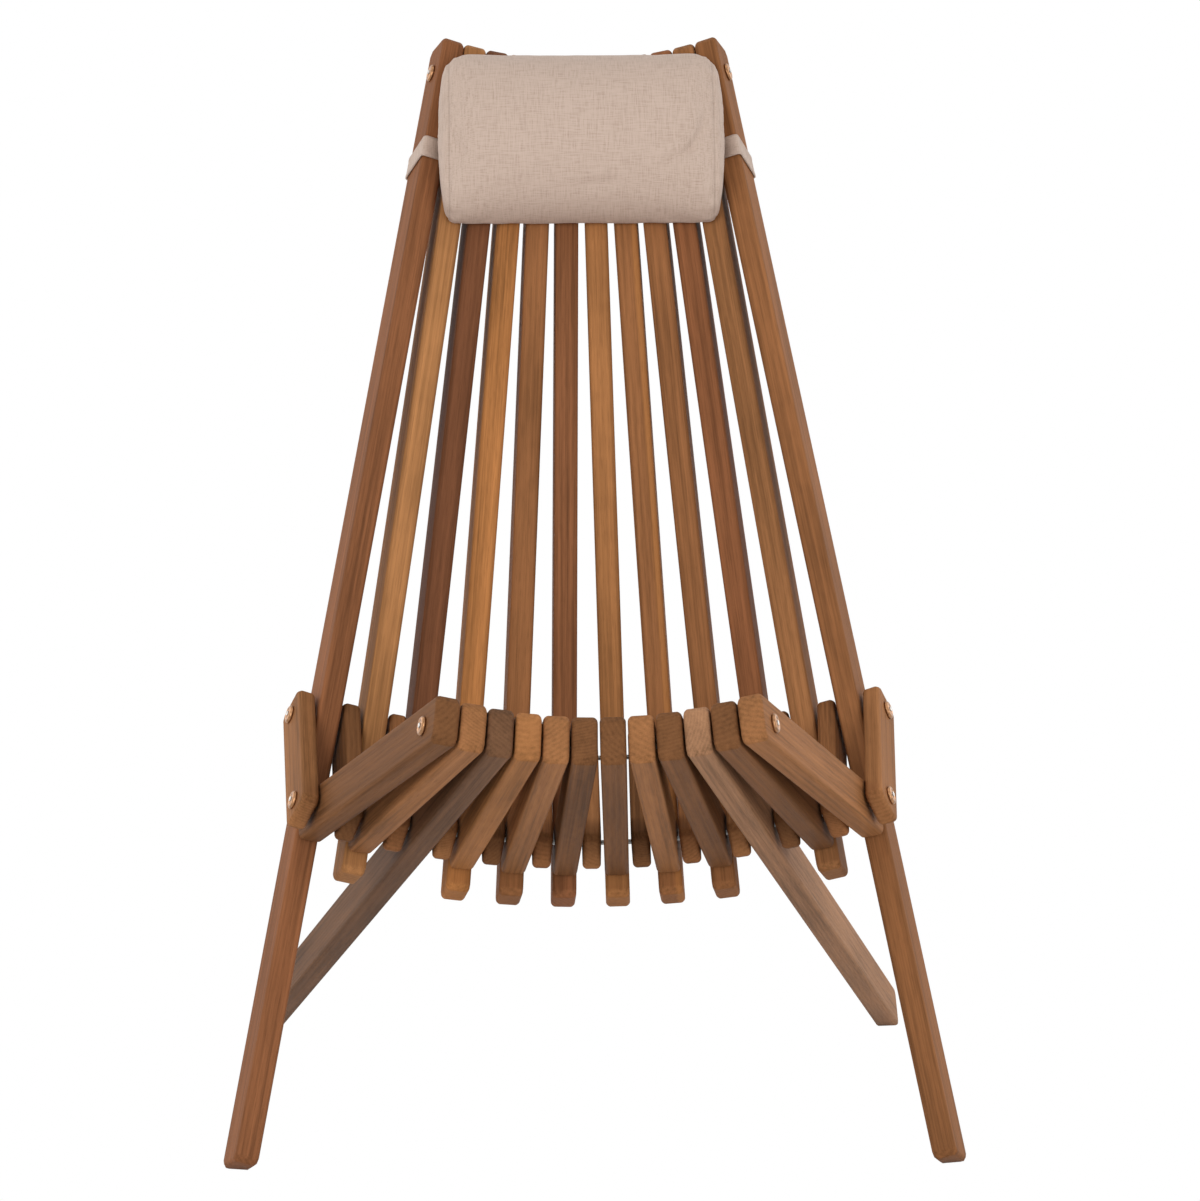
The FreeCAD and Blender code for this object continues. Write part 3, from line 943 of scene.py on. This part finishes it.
@dataclass
class Hardware:
    """The wires and the caps on their ends."""

    copper: MetalFinish = MetalFinish((170, 126, 90), 0.32)
    steel: MetalFinish = MetalFinish((204, 202, 198), 0.45)
    cap_bodies: tuple[tuple[str, str], ...] = (
        ("wire_caps", ROOT_BODY), ("front_cap_right", "seat_01"), ("front_cap_left", "seat_12"),
    )
    cap_reach: float = 0.020
    cap_facets: int = 44
    cap_section: tuple[tuple[float, float], ...] = (
        (2.25, 0.0), (7.0, 0.0), (7.4, 0.3), (7.6, 1.0), (7.5, 1.8), (7.1, 2.5), (6.4, 3.0), (5.6, 3.2),
        (4.7, 3.1), (4.2, 2.8), (3.6, 2.75), (2.9, 3.0), (2.5, 3.1), (2.25, 3.0),
    )

    def dress_all(self, nodes: dict[str, bpy.types.Object]) -> list[bpy.types.Object]:
        """Give wires and caps their metals.

        Args:
            nodes: The frame's nodes by name.

        Returns:
            The wires and the caps.
        """
        steel = self.steel.build("steel_wire")
        pieces = [node for name, node in nodes.items() if "wire" in name and "cap" not in name]
        for wire in pieces:
            dress(wire, steel)
        copper = self.copper.build("copper_caps")
        for name, body in self.cap_bodies:
            piece = self._turned_caps(nodes[name])
            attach(piece, body)
            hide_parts(name)
            dress(piece, copper)
            pieces.append(piece)
        return pieces

    def _turned_caps(self, node: bpy.types.Object) -> bpy.types.Object:
        """Pressed caps with a round rim and a dished face, where the node has its plain ones.

        Args:
            node: The node of the plain caps.

        Returns:
            The pressed caps.
        """
        points: list[Vector] = []
        faces: Faces = []
        for seat, way in self._cap_seats(node):
            first = len(points)
            side = way.orthogonal().normalized()
            over = way.cross(side)
            for radius, height in self.cap_section:
                for facet in range(self.cap_facets):
                    turn = math.tau * facet / self.cap_facets
                    spoke = side * math.cos(turn) + over * math.sin(turn)
                    points.append(seat + (spoke * radius + way * height) * MM)
            faces += ring_faces(first, len(self.cap_section), self.cap_facets)
        return new_piece(f"turned_{node.name}", points, faces)

    def _cap_seats(self, node: bpy.types.Object) -> list[tuple[Vector, Vector]]:
        """Middle of each plain cap's seat and the direction out of it.

        Args:
            node: The node of the plain caps.

        Returns:
            Seats and directions.
        """
        groups: list[list[Vector]] = []
        for vertex in node.data.vertices:
            near = [group for group in groups if (group[0] - vertex.co).length < self.cap_reach]
            if near:
                near[0].append(vertex.co.copy())
            else:
                groups.append([vertex.co.copy()])
        seats = []
        for group in groups:
            cloud = np.array(group)
            middle = (cloud.min(axis=0) + cloud.max(axis=0)) / 2
            way = Vector(np.linalg.svd(cloud - middle)[2][2])
            if way.x * middle[0] < 0.0:
                way.negate()
            middle = Vector(middle)
            depth = min((point - middle).dot(way) for point in group)
            seats.append((middle + way * depth, way))
        return seats


@dataclass(frozen=True)
class Crease:
    """A soft fold in the pillow's front, in metres and degrees."""

    across: float
    rise: float
    turn: float
    length: float
    width: float
    depth: float
    ridge_place: float = 1.2
    ridge_share: float = 0.6

    def dent(self, across: float, rise: float) -> float:
        """Depth of the fold at a place on the pillow.

        Args:
            across: Distance from the middle of the chair, in metres.
            rise: Height from the pillow's middle, in metres.

        Returns:
            How far the cloth lies below its smooth form, in metres.
        """
        turn = math.radians(self.turn)
        right = across - self.across
        up = rise - self.rise
        along = (right * math.cos(turn) + up * math.sin(turn)) / self.length
        aside = (up * math.cos(turn) - right * math.sin(turn)) / self.width
        if abs(along) > 1.0:
            return 0.0
        ridge = self.ridge_share * math.exp(-(aside - self.ridge_place) ** 2)
        return self.depth * (math.exp(-aside ** 2) - ridge) * (1.0 - along ** 2)


@dataclass
class Pillow:
    """The crowned head roll, filled by a cloth simulation, with a sewn panel at each end."""

    fan: Fan
    finish: WovenFinish
    below_top: float = 0.004
    height: float = 0.162
    half_width: float = 0.124
    end_bulge: float = 0.010
    thickness: float = 0.066
    waist: float = 0.024
    end_middle: float = -0.020
    end_sag: float = 0.43
    corner_reach: float = 0.022
    corner_drop: float = 0.004
    end_fullness: float = 2.8
    gap: float = 0.0010
    slack: float = 0.003
    cell: float = 0.005
    pressure: float = 4.0
    gather: float = 0.03
    most_move: float = 0.008
    frames: int = 20
    fill: float = 0.8
    columns: int = 60
    profile: int = 72
    rise_power: float = 0.86
    front_power: float = 0.80
    sag_middle: float = 0.75
    sag_spread: float = 0.25
    end_shares: tuple[float, ...] = (0.2, 0.4, 0.6, 0.75, 0.87, 0.95, 0.99)
    seam_depth: float = 0.0013
    seam_reach: float = 0.0022
    pucker_depth: float = 0.0006
    pucker_length: float = 0.0026
    pucker_reach: float = 0.008
    pucker_drift: float = 60.0
    seam_radius: float = 0.075
    creases: tuple[Crease, ...] = (
        Crease(0.098, -0.024, 58.0, 0.019, 0.0044, 0.0029),
        Crease(0.087, -0.036, 38.0, 0.018, 0.0046, 0.0022),
        Crease(0.104, -0.006, 72.0, 0.015, 0.0044, 0.0018),
        Crease(-0.106, -0.028, -58.0, 0.016, 0.0044, 0.0020),
        Crease(0.014, -0.058, 4.0, 0.026, 0.0048, 0.0016),
    )

    @property
    def seam(self) -> float:
        """Distance of the end seams from the middle."""
        return self.half_width - self.end_bulge

    @property
    def middle(self) -> float:
        """Height of the pillow's middle up the back."""
        return self.fan.back_above - self.below_top - self.height / 2

    def build(self) -> bpy.types.Object:
        """Make the pillow.

        Returns:
            The pillow's object.
        """
        points, faces = self._shell()
        piece = new_piece("head_pillow", points, faces)
        self._fill(piece)
        self._finish_form(piece)
        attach(piece, ROOT_BODY)
        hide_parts("pillow")
        dress(piece, self.finish.build("oatmeal_weave", self.cloth_frame(), self.seam))
        return piece

    def cloth_frame(self) -> Matrix:
        """Frame of the cloth at the pillow's middle."""
        return self.fan.cloth_frame(self._place(0.0, 0.0, 0.0))

    def _place(self, across: float, rise: float, forward: float) -> Vector:
        """Point from distances across, up from the pillow's middle and in front of the middle slats."""
        point = self.fan.back_point(0.0, self.middle + rise, self.fan.slat_depth / 2 + forward)
        return point + Vector((across, 0.0, 0.0))

    def _floor(self, across: float, rise: float) -> float:
        """Least distance forward that keeps the cloth off the slats."""
        return self.fan.hollow(across, self.middle + rise) + self.gap

    def _ring(self, across: float, shrink: float) -> list[Vector]:
        """One soft half-round section of the unfilled roll.

        Args:
            across: Distance of the section from the middle of the chair, in metres.
            shrink: How much smaller it is than the roll, from zero to one.

        Returns:
            The section's points.
        """
        ring = []
        half = self.height / 2 - self.slack
        flat_rows = self.profile // 3
        sag = self.end_sag * (self._floor(across, -half) - self._floor(0.0, -half))
        for row in range(self.profile):
            if row < flat_rows:
                rise = half * (2.0 * row / flat_rows - 1.0)
                forward = self._floor(across, rise)
            else:
                turn = math.pi * (row - flat_rows) / (self.profile - flat_rows)
                rise = half * math.copysign(abs(math.cos(turn)) ** self.rise_power, math.cos(turn))
                low = self._floor(across, rise)
                forward = low + (self.thickness - self.slack - low) * math.sin(turn) ** self.front_power
            rise -= sag * (self.sag_middle - self.sag_spread * rise / half)
            if rise > 0.0:
                rise -= self._corner_drop(across) * rise / half
            forward = self.waist + (forward - self.waist) * (1.0 - shrink)
            rise = self.end_middle + (rise - self.end_middle) * (1.0 - shrink)
            ring.append(self._place(across, rise, forward))
        return ring

    def _corner_drop(self, across: float) -> float:
        """How much lower the upper edge lies towards the end seams."""
        share = max(0.0, abs(across) - self.seam + self.corner_reach) / self.corner_reach
        return self.corner_drop * min(1.0, share) ** 2

    def _shell(self) -> tuple[list[Vector], Faces]:
        """Closed form of the unfilled roll, a little smaller than the filled one.

        Returns:
            Its points and faces.
        """
        seam = self.seam - self.slack
        stops = [(seam * (2.0 * column / self.columns - 1.0), 0.0) for column in range(self.columns + 1)]
        for share in self.end_shares:
            shrink = 1.0 - (1.0 - share ** self.end_fullness) ** (1.0 / self.end_fullness)
            stops.append((seam + share * self.end_bulge, shrink))
            stops.insert(0, (-seam - share * self.end_bulge, shrink))
        points: list[Vector] = []
        for across, shrink in stops:
            points += self._ring(across, shrink)
        return points, tube_faces(len(stops), self.profile)

    def _fill(self, piece: bpy.types.Object) -> None:
        """Blow the roll up as cloth held at its back and gathered at its end seams.

        Args:
            piece: The unfilled roll.
        """
        even = piece.modifiers.new("even_mesh", "REMESH")
        even.mode = "VOXEL"
        even.voxel_size = self.cell
        bake(piece)
        start = [vertex.co.copy() for vertex in piece.data.vertices]
        rest = piece.vertex_groups.new(name="rest")
        seam = piece.vertex_groups.new(name="seam")
        to_local = self.cloth_frame().inverted()
        for number, point in enumerate(start):
            across, rise, forward = to_local @ point
            if forward < self._floor(across, rise) + self.gap and abs(across) < self.seam:
                rest.add([number], 1.0, "REPLACE")
            if abs(abs(across) - self.seam + self.slack) < self.cell:
                seam.add([number], 1.0, "REPLACE")
        cloth = piece.modifiers.new("filling", "CLOTH")
        cloth.settings.use_pressure = True
        cloth.settings.uniform_pressure_force = self.pressure
        cloth.settings.effector_weights.gravity = 0.0
        cloth.settings.vertex_group_mass = "rest"
        cloth.settings.vertex_group_shrink = "seam"
        cloth.settings.shrink_max = self.gather
        scene = bpy.context.scene
        for number in range(1, self.frames + 1):
            scene.frame_set(number)
        bake(piece)
        scene.frame_set(1)
        for vertex, before in zip(piece.data.vertices, start):
            move = vertex.co - before
            if move.length > self.most_move:
                vertex.co = before + move * (self.most_move / move.length)

    def _finish_form(self, piece: bpy.types.Object) -> None:
        """Smooth the cloth, sew its seams, fold it and rest it on the slats.

        Args:
            piece: The filled roll.
        """
        smooth = piece.modifiers.new("soften", "SUBSURF")
        smooth.levels = 1
        bake(piece)
        to_local = self.cloth_frame().inverted()
        out = self.fan.back_face(0.0)
        normals = [vertex.normal.copy() for vertex in piece.data.vertices]
        for vertex, normal in zip(piece.data.vertices, normals):
            across, rise, forward = to_local @ vertex.co
            sink = self._seam_dent(across, rise, forward)
            if forward > self.waist:
                sink += sum(crease.dent(across, rise) for crease in self.creases)
            vertex.co -= normal * sink
            across, rise, forward = to_local @ vertex.co
            lack = self._floor(across, rise) - forward
            if lack > 0.0:
                vertex.co += out * lack
        for polygon in piece.data.polygons:
            polygon.use_smooth = True

    def _seam_dent(self, across: float, rise: float, forward: float) -> float:
        """Depth of the sewn line and of the small puckers beside it.

        Args:
            across: Distance from the middle of the chair, in metres.
            rise: Height from the pillow's middle, in metres.
            forward: Distance in front of the middle slats, in metres.

        Returns:
            How far the cloth is drawn in, in metres.
        """
        away = abs(abs(across) - self.seam)
        line = self.seam_depth * math.exp(-((away / self.seam_reach) ** 2))
        run = math.atan2(forward - self.waist, rise) * self.seam_radius
        drift = 2.0 * math.sin(run * self.pucker_drift)
        pucker = self.pucker_depth * math.sin(run / self.pucker_length + drift)
        return line + pucker * math.exp(-away / self.pucker_reach)


@dataclass
class Strap:
    """The pillow's band, which runs round the outermost slats and behind all of them."""

    fan: Fan
    finish: WovenFinish
    below_top: float = 0.110
    droop: float = 0.007
    width: float = 0.019
    thickness: float = 0.0012
    gap: float = 0.0006
    tuck: float = 0.006
    bend: float = 0.003
    bend_steps: int = 6
    flank_steps: int = 4
    behind_steps: int = 44
    behind_gap: float = 0.0003
    hem: float = 0.003
    hem_end: float = 0.0036
    hem_thin: float = 0.6

    def path(self) -> list[Triple]:
        """Run of the band as fan angle, sideways shift and forward distance.

        Returns:
            Points from the right end of the pillow to its left end.
        """
        depth = self.fan.slat_depth / 2 + self.gap + self.thickness / 2
        flank = self.fan.slat_width / 2 + self.gap + self.thickness / 2
        last = self.fan.slat_angle(SLATS - 1)
        bend = self.bend
        turns = [math.pi / 2 * step / self.bend_steps for step in range(1, self.bend_steps)]
        right: list[Triple] = [(-last, self.tuck, depth), (-last, -flank + bend, depth)]
        for turn in turns:
            aside = -flank + bend - bend * math.sin(turn)
            right.append((-last, aside, depth - bend + bend * math.cos(turn)))
        for step in range(self.flank_steps + 1):
            right.append((-last, -flank, (depth - bend) * (1 - 2 * step / self.flank_steps)))
        for turn in turns:
            aside = -flank + bend - bend * math.cos(turn)
            right.append((-last, aside, -depth + bend - bend * math.sin(turn)))
        behind = []
        for step in range(self.behind_steps + 1):
            behind.append((last * (2 * step / self.behind_steps - 1), 0.0, -depth - self.behind_gap))
        left = [(-angle, -aside, forward) for angle, aside, forward in reversed(right)]
        return right + behind + left

    def build(self) -> bpy.types.Object:
        """Make the band.

        Returns:
            The band's object.
        """
        path = self.path()
        middle = self.fan.back_above - self.below_top
        centre = [self._at(stop, middle) for stop in path]
        section = self._section()
        points: list[Vector] = []
        for number, stop in enumerate(path):
            before = centre[max(number - 1, 0)]
            after = centre[min(number + 1, len(path) - 1)]
            up = self.fan.back_way(stop[0])
            out = (after - before).cross(up).normalized()
            for rise, lift in section:
                points.append(centre[number] + up * rise + out * lift)
        piece = new_piece("pillow_strap", points, tube_faces(len(path), len(section)))
        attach(piece, ROOT_BODY)
        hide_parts("strap_back", "strap_left", "strap_right")
        top = self.fan.back_point(0.0, self.fan.back_above, 0.0)
        dress(piece, self.finish.build("strap_weave", self.fan.cloth_frame(top)))
        return piece

    def _at(self, stop: Triple, middle: float) -> Vector:
        """Centre of the band at one stop of its run.

        Args:
            stop: Fan angle, sideways shift and forward distance.
            middle: Height of the band up the back, in metres.

        Returns:
            The point in space.
        """
        angle, aside, forward = stop
        sunk = self.droop * (0.5 - forward / self.fan.slat_depth)
        return self.fan.back_point(angle, middle - sunk, forward) + self.fan.sideways(angle) * aside

    def _section(self) -> list[tuple[float, float]]:
        """Cross-section with slightly thicker hems.

        Returns:
            Heights across the band and lifts off its middle, in metres.
        """
        half = self.width / 2
        thick = self.thickness / 2
        thin = thick * self.hem_thin
        side = [(-half, -thick), (-half + self.hem, -thick), (-half + self.hem_end, -thin)]
        side += [(half - self.hem_end, -thin), (half - self.hem, -thick), (half, -thick)]
        return side + [(rise, -lift) for rise, lift in reversed(side)]


@dataclass(frozen=True)
class PhotoCamera:
    """The camera that took the photograph, in metres, degrees and photo pixels."""

    place: Triple = (-0.0844, -4.0718, 0.7003)
    focal_pixels: float = 4789.0
    pitch: float = 3.692
    yaw: float = 1.358
    roll: float = -0.302
    clip_end: float = 100.0

    def build(self) -> bpy.types.Object:
        """Make the camera and let the scene use it.

        Returns:
            The camera's object.
        """
        data = bpy.data.cameras.new("photo_camera")
        data.sensor_width = SENSOR_MM
        data.lens = self.focal_pixels * SENSOR_MM / PHOTO_WIDTH
        data.clip_end = self.clip_end
        camera = bpy.data.objects.new("photo_camera", data)
        turn = Matrix.Rotation(math.radians(-self.yaw), 4, "Z")
        turn @= Matrix.Rotation(math.radians(90.0 - self.pitch), 4, "X")
        turn @= Matrix.Rotation(math.radians(self.roll), 4, "Z")
        camera.matrix_world = Matrix.Translation(Vector(self.place)) @ turn
        bpy.context.scene.collection.objects.link(camera)
        bpy.context.scene.camera = camera
        return camera


@dataclass(frozen=True)
class Lamp:
    """A square area light aimed at a point, in metres and watts."""

    name: str
    place: Triple
    aim: Triple
    size: float
    power: float

    def build(self) -> None:
        """Make the light."""
        data = bpy.data.lights.new(self.name, "AREA")
        data.size = self.size
        data.energy = self.power
        lamp = bpy.data.objects.new(self.name, data)
        lamp.location = self.place
        way = Vector(self.aim) - Vector(self.place)
        lamp.rotation_euler = way.to_track_quat("-Z", "Y").to_euler()
        bpy.context.scene.collection.objects.link(lamp)


@dataclass
class Studio:
    """A white floor and soft light from the front, from above and from behind."""

    floor_half: float = 6.0
    floor_shade: float = 0.80
    surround: float = 0.62
    lamps: tuple[Lamp, ...] = (
        Lamp("key_light", (-1.6, -3.0, 1.3), (0.0, 0.0, 0.4), 1.8, 40.0),
        Lamp("fill_light", (2.0, -3.0, 0.8), (0.0, 0.0, 0.4), 2.2, 36.0),
        Lamp("top_light", (0.0, -0.4, 3.2), (0.0, 0.0, 0.4), 2.4, 8.0),
        Lamp("back_left_light", (2.8, 1.6, 1.5), (0.0, 0.0, 0.45), 2.2, 27.0),
        Lamp("back_right_light", (-2.8, 1.6, 1.5), (0.0, 0.0, 0.45), 2.2, 27.0),
    )

    def build(self) -> None:
        """Make the floor, the surroundings and the lights."""
        half = self.floor_half
        places = ((-half, -half), (half, -half), (half, half), (-half, half))
        corners = [Vector((x, y, 0.0)) for x, y in places]
        floor = new_piece("studio_floor", corners, [(0, 1, 2, 3)], smooth=False)
        dress(floor, self._white("floor_white", self.floor_shade))
        self._world()
        for lamp in self.lamps:
            lamp.build()

    def _white(self, name: str, shade: float) -> bpy.types.Material:
        """White that the camera sees as plain white and the chair as a pale floor.

        Args:
            name: Name of the material.
            shade: How pale the chair sees it.

        Returns:
            The material.
        """
        graph = Graph(name)
        graph.set("Base Color", (shade, shade, shade, 1.0))
        graph.set("Roughness", 0.9)
        glow = graph.add("ShaderNodeEmission")
        glow.inputs["Color"].default_value = WHITE
        glow.inputs["Strength"].default_value = 1.0
        mix = graph.add("ShaderNodeMixShader")
        graph.link(self._seen(graph.tree), mix.inputs[0])
        graph.link(graph.shader.outputs[0], mix.inputs[1])
        graph.link(glow.outputs[0], mix.inputs[2])
        graph.link(mix.outputs[0], graph.tree.nodes["Material Output"].inputs["Surface"])
        return graph.material

    def _world(self) -> None:
        """Even surroundings that the camera sees as white."""
        world = bpy.data.worlds.new("studio_world")
        world.use_nodes = True
        tree = world.node_tree
        lit = tree.nodes["Background"]
        lit.inputs["Color"].default_value = WHITE
        lit.inputs["Strength"].default_value = self.surround
        white = tree.nodes.new("ShaderNodeBackground")
        white.inputs["Color"].default_value = WHITE
        white.inputs["Strength"].default_value = 1.0
        mix = tree.nodes.new("ShaderNodeMixShader")
        tree.links.new(self._seen(tree), mix.inputs[0])
        tree.links.new(lit.outputs[0], mix.inputs[1])
        tree.links.new(white.outputs[0], mix.inputs[2])
        tree.links.new(mix.outputs[0], tree.nodes["World Output"].inputs["Surface"])
        bpy.context.scene.world = world

    def _seen(self, tree: bpy.types.NodeTree) -> Socket:
        """Mask that is one for what the camera sees straight, in metal or through glass.

        Args:
            tree: The node tree that the mask belongs to.

        Returns:
            The mask.
        """
        path = tree.nodes.new("ShaderNodeLightPath")
        seen = path.outputs["Is Camera Ray"]
        for kind in ("Is Glossy Ray", "Is Transmission Ray"):
            either = tree.nodes.new("ShaderNodeMath")
            either.operation = "MAXIMUM"
            tree.links.new(seen, either.inputs[0])
            tree.links.new(path.outputs[kind], either.inputs[1])
            seen = either.outputs[0]
        return seen


def main() -> None:
    """Dress the chair and set up the studio."""
    logging.basicConfig(level=logging.INFO)
    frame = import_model()
    bpy.context.scene.view_settings.view_transform = "Standard"
    fan = Fan()
    weave = WovenFinish()
    pieces = Sticks(fan, frame["record"]).dress_all(frame["nodes"])
    pieces += Hardware().dress_all(frame["nodes"])
    pieces.append(Pillow(fan, weave).build())
    pieces.append(Strap(fan, weave).build())
    for piece in pieces:
        log.info("%s is dressed and has %d faces", piece.name, len(piece.data.polygons))
    camera = PhotoCamera().build()
    log.info("%s has a lens of %.1f mm", camera.name, camera.data.lens)
    Studio().build()


if __name__ == "__main__":
    main()
